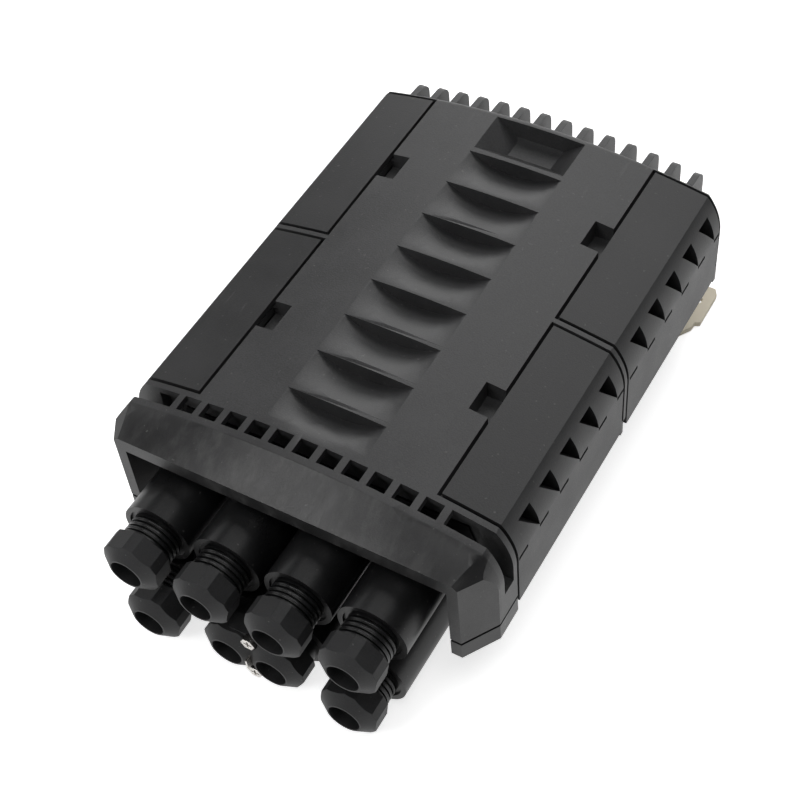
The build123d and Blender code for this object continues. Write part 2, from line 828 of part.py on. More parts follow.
def carrier():
    """Plate over the slack fibre space, with posts that hold the trays up."""
    shape = block(-tray_half, tray_half, tray_front_y, tray_rear_y, carrier_z, carrier_z + carrier_wall)
    shape = fillet(shape.edges().filter_by(Axis.Z), 6)
    inner = tray_half - carrier_border
    window = block(-inner, inner, tray_front_y + carrier_border, tray_rear_y - carrier_border,
                   carrier_z - 1, carrier_z + carrier_wall + 1)
    shape -= fillet(window.edges().filter_by(Axis.Z), 8)
    for x, y in carrier_places():
        shape -= rod_z(small_screw + 0.2, x, y, carrier_z - 1, carrier_z + carrier_wall + 1)
        inward = x - math.copysign(10, x)
        shape += rod_z(carrier_post, inward, y, carrier_z + carrier_wall, carrier_z + carrier_wall
                       + carrier_post_height)
    return shape


def tray_z(index):
    return carrier_z + carrier_wall + carrier_post_height + index * tray_rim


def splice_tray(index):
    """Shallow dish with two fibre spools and a comb of splice holders."""
    low = tray_z(index)
    shape = block(-tray_half, tray_half, tray_front_y, tray_rear_y, low, low + tray_rim)
    shape = fillet(shape.edges().filter_by(Axis.Z), tray_corner)
    dish = block(-tray_half + tray_wall, tray_half - tray_wall, tray_front_y + tray_wall,
                 tray_rear_y - tray_wall, low + tray_wall, low + tray_rim + 1)
    shape -= fillet(dish.edges().filter_by(Axis.Z), tray_corner - tray_wall)
    for y in (tray_front_y + spool_inset, tray_rear_y - spool_inset):
        spool = rod_z(spool_radius, 0, y, low + 0.5, low + tray_rim - 0.6)
        shape += spool - rod_z(spool_radius - tray_wall, 0, y, low + tray_wall, low + tray_rim)
    mid = (tray_front_y + tray_rear_y) / 2
    for i in range(holder_ribs):
        x = (i - (holder_ribs - 1) / 2) * holder_pitch
        shape += block(x - 0.7, x + 0.7, mid - holder_half, mid + holder_half,
                       low + 0.5, low + tray_rim - 0.6)
    return shape


def tray_lid():
    low = tray_z(tray_count)
    shape = block(-tray_half, tray_half, tray_front_y, tray_rear_y, low, low + lid_wall)
    return fillet(shape.edges().filter_by(Axis.Z), tray_corner)


def tray_strap():
    mid = (tray_front_y + tray_rear_y) / 2 + strap_shift
    low = tray_z(0) - strap_gap
    high = tray_z(tray_count) + lid_wall
    side = tray_half + strap_gap
    y0, y1 = mid - strap_width / 2, mid + strap_width / 2
    shape = block(-side - strap_wall, side + strap_wall, y0, y1, low - strap_wall, high + strap_wall)
    shape = fillet(shape.edges().filter_by(Axis.Y), 1.1)
    return shape - block(-side, side, y0 - 1, y1 + 1, low, high)


def clamp_rail():
    shape = block(-rail_half, rail_half, rail_y - rail_width / 2, rail_y + rail_width / 2,
                  rail_z, rail_z + rail_wall)
    for x in (-rail_screw_x, rail_screw_x):
        shape -= rod_z(small_screw + 0.2, x, rail_y, rail_z - 1, rail_z + rail_wall + 1)
    for x in clamp_places():
        shape -= rod_z(small_screw, x, rail_y, rail_z - 1, rail_z + rail_wall + 1)
    return shape


def clamp_places():
    return [(i - 1.5) * rail_half * 0.42 for i in range(4)]


def cable_clamp(x):
    """Z-shaped clip that grips a cable's strength member against the rail."""
    z = rail_z + rail_wall
    half = clamp_reach / 2
    shape = block(x - half, x + half, rail_y - half, rail_y + clamp_reach, z, z + clamp_wall)
    shape += block(x - half, x + half, rail_y + clamp_reach - clamp_wall, rail_y + clamp_reach,
                   z, z + 4)
    return shape - rod_z(small_screw + 0.2, x, rail_y, z - 1, z + clamp_wall + 1)


def build():
    parts = {
        "base_shell": base_shell(),
        "cover_shell": cover_shell(),
        "cover_gasket": gasket(),
        "mounting_plate": mounting_plate(),
    }
    spans = {"front": (front_latch_y, front_latch_end), "rear": (rear_latch_y, rear_latch_end)}
    for name, (start, end) in spans.items():
        right = latch(start, end)
        pin = hinge_pin(start, end)
        parts[f"latch_right_{name}"] = right
        parts[f"latch_left_{name}"] = mirror(right, about=Plane.YZ)
        parts[f"hinge_pin_right_{name}"] = pin
        parts[f"hinge_pin_left_{name}"] = mirror(pin, about=Plane.YZ)
    places = [((i - 1.5) * port_pitch, port_z) for i in range(4)]
    places += [(-lower_port_x, lower_port_z), (lower_port_x, lower_port_z)]
    for number, (x, z) in enumerate(places, 1):
        parts[f"gland_nut_{number}"] = gland_nut(x, z, nut_turns[number - 1])
        parts[f"gland_seal_{number}"] = gland_seal(x, z)
    parts["oval_gland_cap"] = oval_cap()
    parts["oval_gland_seal"] = oval_seal()
    parts["oval_clamp_strip"] = oval_strip()
    upper, lower = oval_screw_levels()
    parts["oval_screw_upper"] = oval_screw(upper)
    parts["oval_screw_lower"] = oval_screw(lower)
    parts["plate_screw_left"] = plate_screw(-plate_screw_x)
    parts["plate_screw_right"] = plate_screw(plate_screw_x)
    parts["tray_carrier"] = carrier()
    for number, (x, y) in enumerate(carrier_places(), 1):
        parts[f"carrier_screw_{number}"] = small_screw_at(x, y, carrier_z + carrier_wall)
    for index in range(tray_count):
        parts[f"splice_tray_{index + 1}"] = splice_tray(index)
    parts["tray_lid"] = tray_lid()
    parts["tray_strap"] = tray_strap()
    parts["clamp_rail"] = clamp_rail()
    parts["rail_screw_left"] = small_screw_at(-rail_screw_x, rail_y, rail_z + rail_wall)
    parts["rail_screw_right"] = small_screw_at(rail_screw_x, rail_y, rail_z + rail_wall)
    for number, x in enumerate(clamp_places(), 1):
        parts[f"cable_clamp_{number}"] = cable_clamp(x)
        parts[f"clamp_screw_{number}"] = small_screw_at(x, rail_y, rail_z + rail_wall + clamp_wall)
    return parts


def main():
    os.makedirs("parts", exist_ok=True)
    middle = (nut_front_y + plate_rear_y) / 2
    for name, shape in build().items():
        solid = Pos(0, -middle, 0) * shape
        export_step(solid, f"parts/{name}.step")


main()
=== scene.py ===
import json
import math
import bmesh
import bpy
from mathutils import Matrix, Vector

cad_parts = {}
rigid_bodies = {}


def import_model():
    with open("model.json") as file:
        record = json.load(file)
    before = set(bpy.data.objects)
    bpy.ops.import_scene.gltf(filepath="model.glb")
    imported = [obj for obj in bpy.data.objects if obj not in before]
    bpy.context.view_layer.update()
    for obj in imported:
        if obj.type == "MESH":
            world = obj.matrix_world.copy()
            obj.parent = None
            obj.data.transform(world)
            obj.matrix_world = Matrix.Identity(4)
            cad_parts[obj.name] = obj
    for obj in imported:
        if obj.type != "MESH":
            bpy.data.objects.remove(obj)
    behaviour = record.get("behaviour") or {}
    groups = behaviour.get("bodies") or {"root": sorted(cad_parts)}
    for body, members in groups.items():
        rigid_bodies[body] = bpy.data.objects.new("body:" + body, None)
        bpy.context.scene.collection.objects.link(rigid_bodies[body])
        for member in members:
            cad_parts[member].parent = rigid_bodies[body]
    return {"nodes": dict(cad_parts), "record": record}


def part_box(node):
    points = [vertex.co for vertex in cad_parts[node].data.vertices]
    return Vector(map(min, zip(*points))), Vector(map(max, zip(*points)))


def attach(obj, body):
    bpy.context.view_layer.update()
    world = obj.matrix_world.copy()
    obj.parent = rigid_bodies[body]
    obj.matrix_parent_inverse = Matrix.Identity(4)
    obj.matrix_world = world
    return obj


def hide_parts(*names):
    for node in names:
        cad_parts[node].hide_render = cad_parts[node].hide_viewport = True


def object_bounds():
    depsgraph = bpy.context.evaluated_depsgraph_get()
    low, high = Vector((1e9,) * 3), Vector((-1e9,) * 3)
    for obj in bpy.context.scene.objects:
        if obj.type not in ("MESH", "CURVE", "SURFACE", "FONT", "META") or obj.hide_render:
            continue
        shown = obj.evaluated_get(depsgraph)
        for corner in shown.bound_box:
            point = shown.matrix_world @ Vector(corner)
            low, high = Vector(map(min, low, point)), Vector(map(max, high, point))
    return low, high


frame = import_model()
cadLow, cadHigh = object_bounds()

print("stage: frame loaded")

scene = bpy.context.scene
scene.view_settings.view_transform = "Standard"

cameraValues = {
    "place": (0.2871, -0.42536, 0.667),
    "right": (0.86509, 0.49647, -0.07175),
    "up": (-0.34803, 0.69704, 0.62691),
    "lens": 73.394,
    "sensor": 36.0,
}


def makeCamera(v):
    data = bpy.data.cameras.new("camera")
    data.lens = v["lens"]
    data.sensor_width = v["sensor"]
    data.sensor_fit = "HORIZONTAL"
    data.clip_start = 0.01
    data.clip_end = 20
    cam = bpy.data.objects.new("camera", data)
    right = Vector(v["right"]).normalized()
    up = Vector(v["up"]).normalized()
    turn = Matrix((right, up, right.cross(up))).transposed().to_4x4()
    cam.matrix_world = Matrix.Translation(Vector(v["place"])) @ turn
    scene.collection.objects.link(cam)
    scene.camera = cam


makeCamera(cameraValues)
print("stage: camera")


class Wire:
    # a node's output that takes part in Python sums
    def __init__(self, graph, socket):
        self.graph = graph
        self.socket = socket

    def math(self, operation, *others):
        values = dict(enumerate((self,) + others))
        return self.graph.node("ShaderNodeMath", {"operation": operation}, values)

    def __add__(self, other):
        return self.math("ADD", other)

    def __radd__(self, other):
        return self.math("ADD", other)

    def __sub__(self, other):
        return self.math("SUBTRACT", other)

    def __rsub__(self, other):
        return self.graph.node("ShaderNodeMath", {"operation": "SUBTRACT"}, {0: other, 1: self})

    def __mul__(self, other):
        return self.math("MULTIPLY", other)

    def __rmul__(self, other):
        return self.math("MULTIPLY", other)


class Graph:
    # a node tree and the one way its nodes are made
    def __init__(self, tree):
        self.tree = tree
        self.tree.nodes.clear()

    def node(self, kind, settings=None, values=None, out=0):
        made = self.tree.nodes.new(kind)
        for key, value in (settings or {}).items():
            setattr(made, key, value)
        for key, value in (values or {}).items():
            if isinstance(value, Wire):
                self.tree.links.new(value.socket, made.inputs[key])
            else:
                made.inputs[key].default_value = value
        return Wire(self, made.outputs[out]) if made.outputs else None


class Shader(Graph):
    # a material's or a world's nodes
    def __init__(self, holder):
        holder.use_nodes = True
        super().__init__(holder.node_tree)
        self.holder = holder

    def place(self):
        return self.node("ShaderNodeTexCoord", out=3)

    def along(self, place, axis):
        return self.node("ShaderNodeSeparateXYZ", {}, {0: place}, out=axis)

    def noise(self, place, scale, detail=3.0, roughness=0.55):
        return self.node("ShaderNodeTexNoise", {}, {
            "Vector": place, "Scale": scale, "Detail": detail, "Roughness": roughness})

    def ray(self, kind):
        return self.node("ShaderNodeLightPath", out="Is %s Ray" % kind)

    def stretch(self, place, scale):
        return self.node("ShaderNodeMapping", {}, {"Vector": place, "Scale": scale})

    def steps(self, factor, low, high):
        # 0 below low, 1 above high, smooth between
        return self.node("ShaderNodeMapRange", {"interpolation_type": "SMOOTHSTEP"}, {
            "Value": factor, "From Min": low, "From Max": high})

    def blend(self, factor, colourA, colourB):
        # 0 gives A, 1 gives B
        return self.node("ShaderNodeMix", {"data_type": "RGBA"}, {0: factor, 6: colourA, 7: colourB}, out=2)

    def bump(self, height, depth, strength=0.6):
        return self.node("ShaderNodeBump", {}, {"Strength": strength, "Distance": depth, "Height": height})

    def finish(self, values):
        surface = self.node("ShaderNodeBsdfPrincipled", {}, values)
        self.node("ShaderNodeOutputMaterial", {}, {"Surface": surface})
        return self.holder


def newMaterial(name):
    return Shader(bpy.data.materials.new(name))


def rgb(r, g, b):
    return (r, g, b, 1.0)


housingValues = {
    "base": rgb(0.0220, 0.0220, 0.0228),
    "pale": rgb(0.0400, 0.0400, 0.0411),
    "paleRange": (0.36, 0.64),
    "roughness": 0.44,
    "specular": 0.46,
    "grain": 1300.0,
    "grainDepth": 0.0001,
    "grainRough": 0.2,
    "patch": 24.0,
    "patchRough": 0.22,
    "scuff": rgb(0.085, 0.084, 0.082),
    "scuffs": 0.6,
    "scuffRough": 0.10,
    "streakStretch": (1.0, 0.18, 1.0),
    "streakRange": (0.60, 0.76),
    "wideRange": (0.46, 0.66),
    "dust": rgb(0.090, 0.089, 0.086),
    "dustRange": (0.735, 0.79),
    "dustShare": 0.5,
}
# the hood's front face: its base colour is painted shade, darker than the same plastic on the top; pale
# mottle spots lie over it
hoodShadeAndMottle = {
    "base": rgb(0.0090, 0.0090, 0.0096),
    "edge": -0.0985,
    "blur": 0.0006,
    "span": 0.085,
    "mottle": 110.0,
    "mottleStretch": (1.0, 0.45, 0.45),
    "mottleRange": (0.42, 0.74),
    "ends": 0.18,
    "middle": 0.45,
    "rough": 0.3,
}


def mouldedPlastic(name, v, hood=None):
    # black moulded plastic: fine spark texture, cloudy sheen, rubbed streaks, mottled on the hood; the hood's
    # front face also gets painted shade, a darker colour than the top
    s = newMaterial(name)
    place = s.place()
    grain = s.noise(place, v["grain"], 2.0, 0.6)
    cloud = s.noise(place, v["patch"], 5.0, 0.6)
    wide = s.noise(place, v["patch"] * 0.4, 3.0, 0.5)
    streak = s.noise(s.stretch(place, v["streakStretch"]), v["patch"] * 9, 4.0, 0.62)
    rub = s.steps(streak, *v["streakRange"]) * s.steps(wide, *v["wideRange"]) * v["scuffs"]
    rough = v["roughness"] + (cloud - 0.5) * v["patchRough"] + (grain - 0.5) * v["grainRough"]
    rough = rough + rub * v["scuffRough"]
    colour = s.blend(s.steps(cloud * 0.5 + grain * 0.5, *v["paleRange"]), v["base"], v["pale"])
    colour = s.blend(rub, colour, v["scuff"])
    if hood:
        # painted shade: the hood's front face, in front of the edge, is marked here to take the darker colour
        front = 1 - s.steps(s.along(place, 1), hood["edge"] - hood["blur"], hood["edge"] + hood["blur"])
        mottle = s.noise(s.stretch(place, hood["mottleStretch"]), hood["mottle"], 6.0, 0.68)
        middle = 1 - s.steps(s.along(place, 0).math("ABSOLUTE"), 0.0, hood["span"])
        spots = s.steps(mottle, *hood["mottleRange"]) * (hood["ends"] + middle * hood["middle"]) * front
        # painted shade over the hood's front face, broken where the mottle spots are
        colour = s.blend(front * (1 - spots), colour, hood["base"])
        colour = s.blend(spots, colour, v["scuff"])
        rough = rough + (mottle - 0.5) * front * hood["rough"]
    speck = s.steps(s.noise(place, v["grain"] * 0.35, 1.0, 0.4), *v["dustRange"]) * v["dustShare"]
    colour = s.blend(speck, colour, v["dust"])
    return s.finish({"Base Color": colour, "Roughness": rough, "Normal": s.bump(grain, v["grainDepth"]),
                     "Specular IOR Level": v["specular"], "IOR": 1.5})


latchValues = dict(housingValues, base=rgb(0.0170, 0.0170, 0.0176), pale=rgb(0.0260, 0.0260, 0.0268),
                   patch=34.0, specular=0.40, scuffs=0.5)
tubeValues = dict(housingValues, base=rgb(0.0050, 0.0050, 0.0054), pale=rgb(0.0090, 0.0090, 0.0095),
                  roughness=0.34, grainDepth=0.00003, patch=40.0, specular=0.38, scuffs=0.15)
nutValues = dict(housingValues, base=rgb(0.0120, 0.0120, 0.0126), pale=rgb(0.0190, 0.0190, 0.0198),
                 roughness=0.5, patch=60.0, specular=0.32, scuffs=0.2)

# scale and detail of the pattern that mixes the dark and light colours and swings the roughness
plainValues = {
    "rubber": {
        "pattern": (900.0, 3.0),
        "dark": rgb(0.008, 0.008, 0.008),
        "light": rgb(0.016, 0.016, 0.016),
        "roughness": (0.7, 0.2),
        "bump": (900.0, 3.0, 0.0001, 0.4),
    },
    "steel": {
        "pattern": (1400.0, 3.0),
        "stretch": (1.0, 0.12, 1.0),
        "dark": rgb(0.52, 0.50, 0.47),
        "light": rgb(0.74, 0.72, 0.69),
        "roughness": (0.22, 0.2),
        "metallic": 1.0,
    },
    "cream": {
        "pattern": (60.0, 4.0),
        "dark": rgb(0.74, 0.66, 0.50),
        "light": rgb(0.84, 0.77, 0.62),
        "roughness": (0.48, 0.15),
        "bump": (1500.0, 2.0, 0.00005, 0.3),
    },
    "tray": {
        "pattern": (90.0, 3.0),
        "dark": rgb(0.66, 0.66, 0.64),
        "light": rgb(0.76, 0.76, 0.74),
        "roughness": (0.5, 0.1),
    },
    "lid": {
        "pattern": (70.0, 3.0),
        "dark": rgb(0.70, 0.74, 0.76),
        "light": rgb(0.80, 0.83, 0.84),
        "roughness": (0.12, 0.06),
        "alpha": (0.35, 0.1),
    },
}


def plainFinish(name, v):
    s = newMaterial(name + "Finish")
    place = s.place()
    pattern = s.noise(s.stretch(place, v["stretch"]) if "stretch" in v else place, *v["pattern"])
    roughness, swing = v["roughness"]
    values = {"Base Color": s.blend(pattern, v["dark"], v["light"]),
              "Roughness": roughness + (pattern - 0.5) * swing}
    if "metallic" in v:
        values["Metallic"] = v["metallic"]
    if "alpha" in v:
        alpha, rise = v["alpha"]
        values["Alpha"] = alpha + pattern * rise
    if "bump" in v:
        scale, detail, depth, strength = v["bump"]
        values["Normal"] = s.bump(s.noise(place, scale, detail), depth, strength)
    return s.finish(values)


strapValues = {
    "weave": 500.0,
    "distortion": 1.5,
    "dark": rgb(0.010, 0.010, 0.010),
    "light": rgb(0.035, 0.035, 0.036),
    "roughness": 0.85,
    "swing": 0.1,
    "depth": 0.0003,
}


def strapFinish(v):
    s = newMaterial("strapFinish")
    weave = s.node("ShaderNodeTexWave", {"wave_type": "BANDS", "bands_direction": "Y"}, {
        "Vector": s.place(), "Scale": v["weave"], "Distortion": v["distortion"], "Detail": 2.0}, out=1)
    return s.finish({"Base Color": s.blend(weave, v["dark"], v["light"]),
                     "Roughness": v["roughness"] - weave * v["swing"], "Normal": s.bump(weave, v["depth"])})


materials = {
    "housing": mouldedPlastic("housingPlastic", housingValues, hoodShadeAndMottle),
    "latch": mouldedPlastic("latchPlastic", latchValues),
    "base": mouldedPlastic("basePlastic", tubeValues),
    "nut": mouldedPlastic("nutNylon", nutValues),
    "strap": strapFinish(strapValues),
}
for finishName, values in plainValues.items():
    materials[finishName] = plainFinish(finishName, values)
print("stage: materials")

# finish by the start of the node's name; every other node is steel
finishStarts = {
    "latch": "latch",
    "cover_shell": "housing",
    "base_shell": "base",
    "gland_nut": "nut",
    "oval_gland_cap": "nut",
    "gland_seal": "rubber",
    "oval_gland_seal": "rubber",
    "cover_gasket": "rubber",
    "mounting_plate": "cream",
    "tray_carrier": "tray",
    "splice_tray": "tray",
    "tray_lid": "lid",
    "tray_strap": "strap",
}


def finishOf(name):
    for start, finish in finishStarts.items():
        if name.startswith(start):
            return materials[finish]
    return materials["steel"]


def nodeObject(name):
    found = frame["nodes"][name]
    return found if isinstance(found, bpy.types.Object) else bpy.data.objects[name]


for nodeName in frame["nodes"]:
    data = nodeObject(nodeName).data
    if data.materials:
        for index in range(len(data.materials)):
            data.materials[index] = finishOf(nodeName)
    else:
        data.materials.append(finishOf(nodeName))
print("stage: node finishes")

# width of the soft edge, by the start of the node's name
edgeValues = {
    "cover_shell": 0.0005,
    "base_shell": 0.0004,
    "latch": 0.0004,
    "gland_nut": 0.00022,
    "oval_gland_cap": 0.00022,
    "mounting_plate": 0.0005,
    "oval_screw": 0.0002,
}
softValues = {
    "merge": 0.000001,
    "flatAngle": 0.6,
    "sharpAngle": 28.0,
    "segments": 2,
    "weight": 80,
}


def flattened(piece):
    # the modifiers' result as a plain mesh
    plain = bpy.data.meshes.new_from_object(piece.evaluated_get(bpy.context.evaluated_depsgraph_get()))
    piece.modifiers.clear()
    piece.data = plain
    return piece


flankValues = {
    "centre": (0.0661, 0.0700),
    "radius": 0.03393,
    "edge": 0.0920,
    "halfWidth": 0.09999,
    "inside": 0.0900,
    "steps": 14,
    "footDrop": 0.0016,
    "endGap": 0.00062,
    "outside": 0.001,
}
seamValues = {"ease": 0.0006, "near": 0.0001}
pocketValues = {
    "count": 5,
    "first": 0.0073,
    "pitch": 0.01995,
    "low": 0.0711,
    "high": 0.08667,
    "lean": 0.0014,
    "run": 0.0121,
    "depth": 0.0092,
    "slotRun": 0.0085,
    "slotDepth": 0.0034,
    "slotHalf": 0.0011,
}


def prism(name, section, axis, start, end):
    # a closed prism: the section lies across the given axis and runs from start to end
    mesh = bpy.data.meshes.new(name)
    spots = [p[:axis] + (at,) + p[axis:] for at in (start, end) for p in section]
    count = len(section)
    faces = [tuple(range(count)), tuple(range(count, 2 * count))]
    faces += [(i, (i + 1) % count, count + (i + 1) % count, count + i) for i in range(count)]
    mesh.from_pydata(spots, [], faces)
    bm = bmesh.new()
    bm.from_mesh(mesh)
    bmesh.ops.recalc_face_normals(bm, faces=bm.faces)
    bm.to_mesh(mesh)
    bm.free()
    return mesh


def joined(name, meshes):
    bm = bmesh.new()
    for mesh in meshes:
        bm.from_mesh(mesh)
    result = bpy.data.meshes.new(name)
    bm.to_mesh(result)
    bm.free()
    return result


def cutWith(piece, name, mesh, operation):
    tool = bpy.data.objects.new(name, mesh)
    scene.collection.objects.link(tool)
    step = piece.modifiers.new(name, "BOOLEAN")
    step.operation = operation
    step.solver = "EXACT"
    step.object = tool
    flattened(piece)
    bpy.data.objects.remove(tool)


def fingerPockets(piece, name, flank, v):
    # fills the latch's flank to its full curve and cuts the row of finger pockets and fine slots
    low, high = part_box(name)
    side = 1.0 if high[0] > 0 else -1.0
    cx, cz = flank["centre"]
    top = math.acos((flank["edge"] - cx) / flank["radius"])
    curve = [(cx + flank["radius"] * math.cos(top * i / flank["steps"]),
              cz + flank["radius"] * math.sin(top * i / flank["steps"])) for i in range(flank["steps"] + 1)]
    curve = [(min(x, flank["halfWidth"]), z) for x, z in curve]
    foot = cz - flank["footDrop"]
    section = [(flank["inside"], foot), (flank["halfWidth"], foot)] + curve
    section.append((flank["inside"], curve[-1][1]))
    fill = prism(name + "Fill", [(side * x, z) for x, z in section], 1,
                 low[1] + flank["endGap"], high[1] - flank["endGap"])
    cutWith(piece, name + "Fill", fill, "UNION")
    tools = []
    outside = side * (flank["halfWidth"] + flank["outside"])
    for index in range(v["count"] + 1):
        y = high[1] - v["first"] - index * v["pitch"]
        slot = [(y, cz - v["slotHalf"]), (y + v["slotRun"], cz - v["slotHalf"]),
                (y + v["slotRun"], cz + v["slotHalf"]), (y, cz + v["slotHalf"])]
        tools.append(prism("slot", slot, 0, side * (flank["halfWidth"] - v["slotDepth"]), outside))
        if index < v["count"]:
            pocket = [(y, v["low"]), (y - v["lean"], v["high"]), (y - v["run"], v["high"])]
            tools.append(prism("pocket", pocket, 0, side * (flank["halfWidth"] - v["depth"]), outside))
    cutWith(piece, name + "Pockets", joined(name + "Pockets", tools), "DIFFERENCE")


def easeSeams(bm, name, v):
    # draws the latch's two ends and its inner edge back a little, so the seams read as dark lines
    low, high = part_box(name)
    side = 1.0 if high[0] > 0 else -1.0
    inner = low[0] if side > 0 else high[0]
    for point in bm.verts:
        if point.co.y < low[1] + v["near"]:
            point.co.y += v["ease"]
        elif point.co.y > high[1] - v["near"]:
            point.co.y -= v["ease"]
        if abs(point.co.x - inner) < v["near"]:
            point.co.x += side * v["ease"]


finValues = {
    "wall": 0.1435,
    "root": 0.139,
    "foot": 0.0446,
    "radius": 0.0014,
    "steps": 4,
    "topSlant": 0.2,
    "sideSlant": 0.95,
}


def roundFins(bm, v):
    # the rear fins have rounder edges than the rest of the cover
    edges = []
    for edge in bm.edges:
        if len(edge.link_faces) != 2:
            continue
        a, b = (point.co for point in edge.verts)
        top, flank = sorted(abs(face.normal.x) for face in edge.link_faces)
        onFin = min(a.y, b.y) > v["root"] and (a.y + b.y) / 2 > v["wall"] and (a.z + b.z) / 2 > v["foot"]
        if onFin and top < v["topSlant"] and flank > v["sideSlant"]:
            edges.append(edge)
    bmesh.ops.bevel(bm, geom=edges, offset=v["radius"], offset_type="OFFSET", segments=v["steps"],
                    profile=0.5, affect="EDGES", clamp_overlap=True)


def softEdgedCopy(name, width, v):
    # the node's own form with its sharp edges rounded, as they leave the mould
    mesh = nodeObject(name).data.copy()
    mesh.name = name + "Soft"
    piece = bpy.data.objects.new(name + "Soft", mesh)
    scene.collection.objects.link(piece)
    bm = bmesh.new()
    bm.from_mesh(mesh)
    bmesh.ops.remove_doubles(bm, verts=bm.verts, dist=v["merge"])
    if name.startswith("latch"):
        easeSeams(bm, name, seamValues)
        bm.to_mesh(mesh)
        fingerPockets(piece, name, flankValues, pocketValues)
        mesh = piece.data
        bm.clear()
        bm.from_mesh(mesh)
        bmesh.ops.remove_doubles(bm, verts=bm.verts, dist=v["merge"])
    bmesh.ops.dissolve_limit(bm, angle_limit=math.radians(v["flatAngle"]), verts=bm.verts, edges=bm.edges)
    if name == "cover_shell":
        roundFins(bm, finValues)
    bm.to_mesh(mesh)
    bm.free()
    bevel = piece.modifiers.new("edge", "BEVEL")
    bevel.width = width
    bevel.segments = v["segments"]
    bevel.limit_method = "ANGLE"
    bevel.angle_limit = math.radians(v["sharpAngle"])
    bevel.use_clamp_overlap = True
    weighted = piece.modifiers.new("flatNormals", "WEIGHTED_NORMAL")
    weighted.keep_sharp = True
    weighted.weight = v["weight"]
    for polygon in mesh.polygons:
        polygon.use_smooth = True
    return flattened(piece)


def dressNodes():
    bodies = frame["record"]["behaviour"]["bodies"]
    for start, width in edgeValues.items():
        for name in [found for found in frame["nodes"] if found.startswith(start)]:
            piece = softEdgedCopy(name, width, softValues)
            for body, members in bodies.items():
                if name in members:
                    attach(piece, body)
            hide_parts(name)


dressNodes()
print("stage: soft edges")


class Growth(Graph):
    # a Geometry Nodes tree with named inputs
    def __init__(self, name, inputs):
        super().__init__(bpy.data.node_groups.new(name, "GeometryNodeTree"))
        self.tree.is_modifier = True
        face = self.tree.interface
        face.new_socket(name="Geometry", in_out="INPUT", socket_type="NodeSocketGeometry")
        self.ids = {}
        for label, (kind, value) in inputs.items():
            socket = face.new_socket(name=label, in_out="INPUT", socket_type="NodeSocket" + kind)
            socket.default_value = value
            self.ids[label] = socket.identifier
        face.new_socket(name="Geometry", in_out="OUTPUT", socket_type="NodeSocketGeometry")

    def given(self, label):
        return self.node("NodeGroupInput", out=label)

    def finish(self, geometry, material):
        solid = self.node("GeometryNodeRealizeInstances", {}, {"Geometry": geometry})
        dressed = self.node("GeometryNodeSetMaterial", {}, {"Geometry": solid, "Material": material})
        self.node("NodeGroupOutput", {}, {0: dressed})
        return self


def grown(name, points, geo, values, body):
    # a piece that a tree grows from a few points, left as a plain mesh
    mesh = bpy.data.meshes.new(name + "Points")
    mesh.from_pydata(points, [], [])
    piece = bpy.data.objects.new(name, mesh)
    scene.collection.objects.link(piece)
    modifier = piece.modifiers.new("grow", "NODES")
    modifier.node_group = geo.tree
    for label, value in values.items():
        modifier[geo.ids[label]] = value
    flattened(piece)
    bm = bmesh.new()
    bm.from_mesh(piece.data)
    bmesh.ops.recalc_face_normals(bm, faces=bm.faces)
    bm.to_mesh(piece.data)
    bm.free()
    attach(piece, body)
    return piece


def ringTree(name, material):
    # rounded ribs in a row, one behind another along Y, round each point
    g = Growth(name, {
        "Ring Radius": ("Float", 0.0122), "Rib Radius": ("Float", 0.0008), "Rib Count": ("Int", 4),
        "Rib Pitch": ("Float", 0.0026), "Round Steps": ("Int", 72), "Rib Steps": ("Int", 10),
    })
    step = g.node("ShaderNodeCombineXYZ", {}, {1: g.given("Rib Pitch") * -1.0})
    row = g.node("GeometryNodeMeshLine", {"mode": "OFFSET"}, {"Count": g.given("Rib Count"), "Offset": step})
    rows = g.node("GeometryNodeInstanceOnPoints", {}, {"Points": g.given("Geometry"), "Instance": row})
    places = g.node("GeometryNodeRealizeInstances", {}, {"Geometry": rows})
    ring = g.node("GeometryNodeCurvePrimitiveCircle", {"mode": "RADIUS"}, {
        "Resolution": g.given("Round Steps"), "Radius": g.given("Ring Radius")})
    profile = g.node("GeometryNodeCurvePrimitiveCircle", {"mode": "RADIUS"}, {
        "Resolution": g.given("Rib Steps"), "Radius": g.given("Rib Radius")})
    rib = g.node("GeometryNodeCurveToMesh", {}, {"Curve": ring, "Profile Curve": profile})
    rib = g.node("GeometryNodeSetShadeSmooth", {}, {0: rib})
    upright = g.node("GeometryNodeTransform", {}, {"Geometry": rib, "Rotation": (math.pi / 2, 0.0, 0.0)})
    ribs = g.node("GeometryNodeInstanceOnPoints", {}, {"Points": places, "Instance": upright})
    return g.finish(ribs, material)


neckValues = {
    "setback": 0.00885,
    "rings": {"Ring Radius": 0.01225, "Rib Radius": 0.00082, "Rib Count": 4, "Rib Pitch": 0.0026},
}
sealValues = {
    "count": 6,
    "depth": 0.0022,
    "rings": {"Ring Radius": 0.0082, "Rib Radius": 0.0005, "Rib Count": 4, "Rib Pitch": 0.0022},
}


def makeGlandRibs(neck, seal):
    # thread ridges on the six necks in one piece, and ribs inside each seal that ride with it
    starts = []
    tree = ringTree("sealRibs", materials["rubber"])
    run = seal["depth"] + seal["rings"]["Rib Pitch"] * seal["rings"]["Rib Count"]
    for number in range(1, seal["count"] + 1):
        low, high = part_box("gland_seal_%d" % number)
        x, z = (low[0] + high[0]) / 2, (low[2] + high[2]) / 2
        starts.append((x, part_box("gland_nut_1")[1][1] + neck["setback"], z))
        spot = [(x, low[1] + run, z)]
        grown("sealRibs%d" % number, spot, tree, seal["rings"], "seal_%d" % number)
    threads = ringTree("neckThreads", materials["base"])
    grown("neckThreads", starts, threads, neck["rings"], "closure")


makeGlandRibs(neckValues, sealValues)
print("stage: gland ribs")

floorValues = {
    "size": 6.0,
    "drop": 0.0002,
    "colour": rgb(0.86, 0.86, 0.86),
    "seen": 0.72,
    "mirrored": 0.56,
    "nearRadius": 0.45,
    "farRadius": 1.1,
}


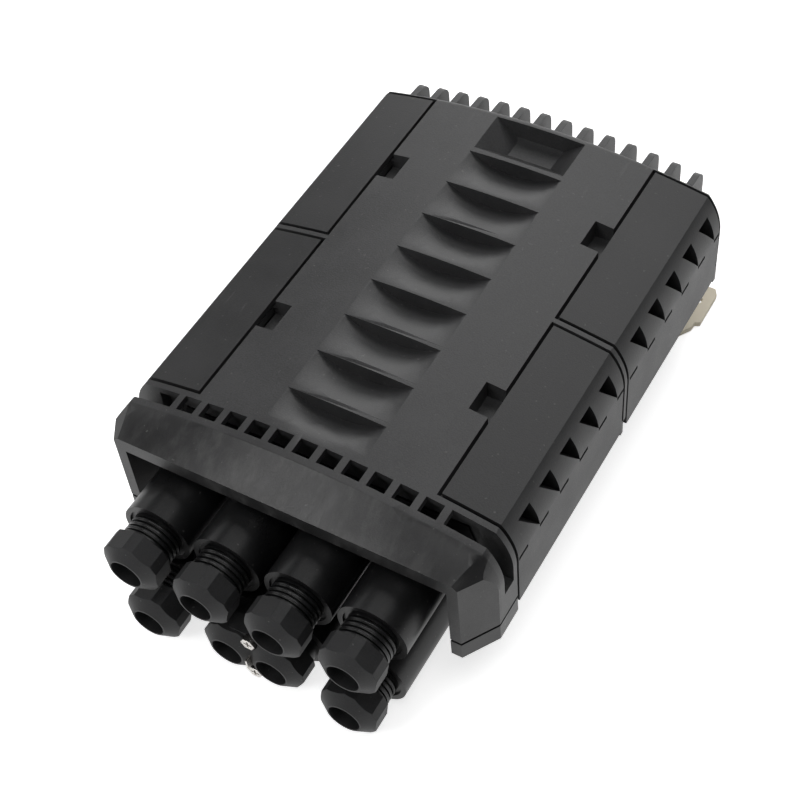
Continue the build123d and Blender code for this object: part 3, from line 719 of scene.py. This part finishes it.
def makeFloor(v):
    half = v["size"] / 2
    low = cadLow[2] - v["drop"]
    mesh = bpy.data.meshes.new("studioFloor")
    corners = [(-half, -half, low), (half, -half, low), (half, half, low), (-half, half, low)]
    mesh.from_pydata(corners, [], [(0, 1, 2, 3)])
    piece = bpy.data.objects.new("studioFloor", mesh)
    scene.collection.objects.link(piece)
    s = newMaterial("floorFinish")
    camera, glossy, through = s.ray("Camera"), s.ray("Glossy"), s.ray("Transmission")
    lift = camera.math("MAXIMUM", through) * v["seen"] + glossy * v["mirrored"]
    shade = s.node("ShaderNodeBsdfDiffuse", {}, {"Color": v["colour"]})
    glow = s.node("ShaderNodeEmission", {}, {"Color": rgb(1.0, 1.0, 1.0), "Strength": lift})
    near = s.node("ShaderNodeAddShader", {}, {0: shade, 1: glow})
    white = s.node("ShaderNodeEmission", {}, {"Color": rgb(1.0, 1.0, 1.0), "Strength": 1.0})
    distance = s.node("ShaderNodeVectorMath", {"operation": "LENGTH"}, {0: s.place()}, out="Value")
    far = s.steps(distance, v["nearRadius"], v["farRadius"]) * camera
    both = s.node("ShaderNodeMixShader", {}, {0: far, 1: near, 2: white})
    s.node("ShaderNodeOutputMaterial", {}, {"Surface": both})
    mesh.materials.append(s.holder)


makeFloor(floorValues)

worldValues = {"ambient": 0.095, "tint": rgb(1.0, 1.0, 1.0), "bandLow": -0.05, "bandHigh": 0.04}


def makeWorld(v):
    # a dim room with a white backdrop, which the camera sees and the plastic mirrors low down
    scene.world = bpy.data.worlds.new("studio")
    s = Shader(scene.world)
    camera, glossy, through = s.ray("Camera"), s.ray("Glossy"), s.ray("Transmission")
    height = s.along(s.node("ShaderNodeTexCoord", out="Generated"), 2)
    low = 1 - s.steps(height, v["bandLow"], v["bandHigh"])
    white = camera.math("MAXIMUM", through).math("MAXIMUM", glossy * low)
    room = s.node("ShaderNodeBackground", {}, {"Color": v["tint"], "Strength": v["ambient"]})
    backdrop = s.node("ShaderNodeBackground", {}, {"Color": v["tint"], "Strength": 1.0})
    both = s.node("ShaderNodeMixShader", {}, {0: white, 1: room, 2: backdrop})
    s.node("ShaderNodeOutputWorld", {}, {"Surface": both})


makeWorld(worldValues)

lampValues = {
    "softbox": {"place": (0.0, 0.95, 1.22), "aim": (0.0, 0.0, 0.05), "size": (1.6, 0.8), "power": 9.2},
    "backdropGlow": {"place": (-0.9, 2.0, 0.75), "aim": (0.0, 0.0, 0.05), "size": (1.6, 0.9), "power": 12.0},
    "frontFill": {"place": (-0.5, -1.9, 0.45), "aim": (0.0, 0.0, 0.05), "size": (1.6, 0.6), "power": 2.0},
    "leftFill": {"place": (-1.6, 0.1, 0.9), "aim": (0.0, 0.0, 0.0), "size": (1.2, 0.9), "power": 5.0},
    "topFill": {"place": (0.26, -0.26, 1.05), "aim": (0.0, 0.0, 0.05), "size": (0.5, 0.5), "power": 2.5},
    "hoodLight": {"place": (-0.38, -0.92, 0.87), "aim": (0.0, -0.11, 0.08), "size": (0.5, 0.5), "power": 4.8},
}


def makeLamp(name, v):
    data = bpy.data.lights.new(name, "AREA")
    data.shape = "RECTANGLE"
    data.size, data.size_y = v["size"]
    data.energy = v["power"]
    lamp = bpy.data.objects.new(name, data)
    lamp.location = v["place"]
    aim = Vector(v["aim"]) - Vector(v["place"])
    lamp.rotation_euler = aim.to_track_quat("-Z", "Y").to_euler()
    scene.collection.objects.link(lamp)


for lampName, lamp in lampValues.items():
    makeLamp(lampName, lamp)
print("stage: studio")
